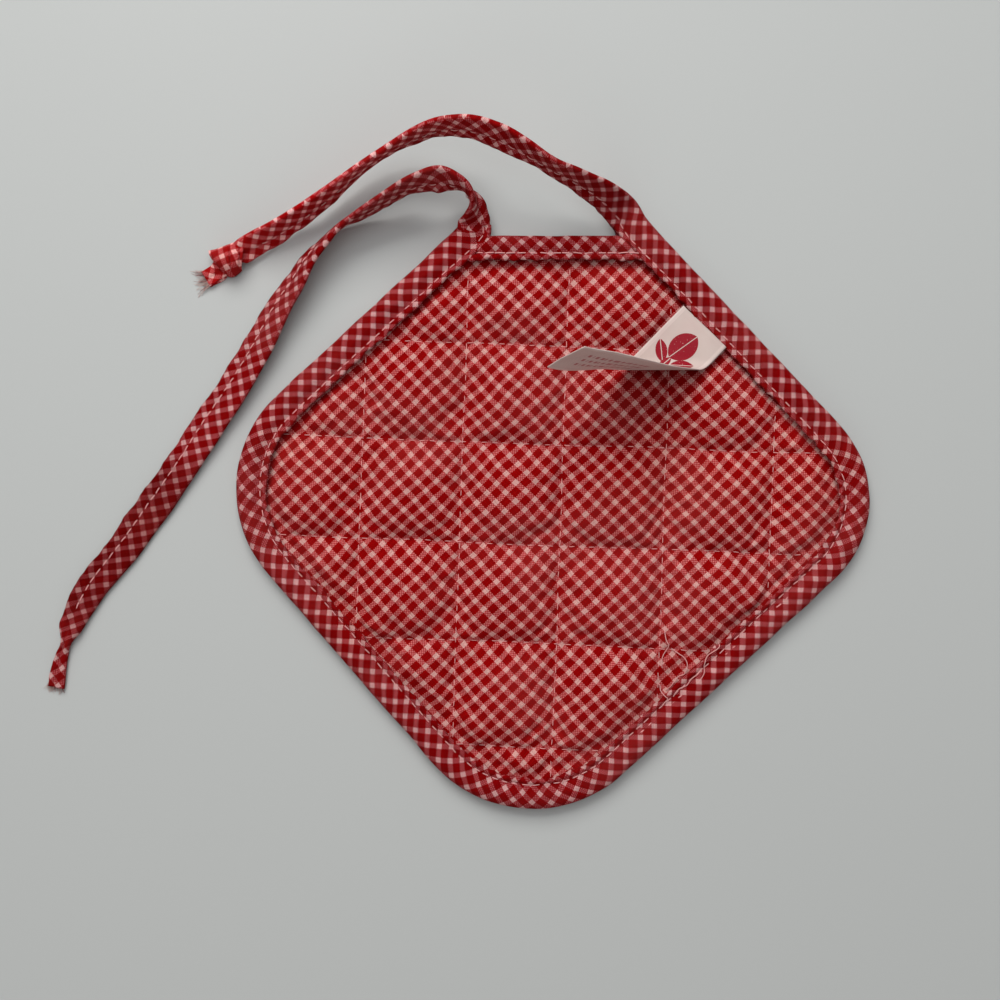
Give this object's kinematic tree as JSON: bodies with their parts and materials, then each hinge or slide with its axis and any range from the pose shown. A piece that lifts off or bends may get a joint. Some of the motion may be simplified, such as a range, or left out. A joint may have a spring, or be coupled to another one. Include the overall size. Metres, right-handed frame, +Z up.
{
  "type": "quilted pot holder with ties",
  "caption": "Small square quilted gingham pad with bound edges, a straight top edge, two long tape ties and a ribbon label.",
  "frame": {"origin": "middle of the central quilted cell, on the flat underside that the pad rests on", "axes": "+Z up out of the face that shows, +Y towards the straight neck edge, +X to the right"},
  "size_m": [0.2077, 0.17, 0.0356],
  "materials": {
    "gingham": "matte woven cotton, red and white checks",
    "tape": "matte woven cotton cut on the bias",
    "satin": "soft satin ribbon"
  },
  "bodies": {
    "root": {"quilted_pad": "gingham", "neck_binding": "tape", "edge_tape": "tape", "label": "satin"}
  },
  "joints": []
}
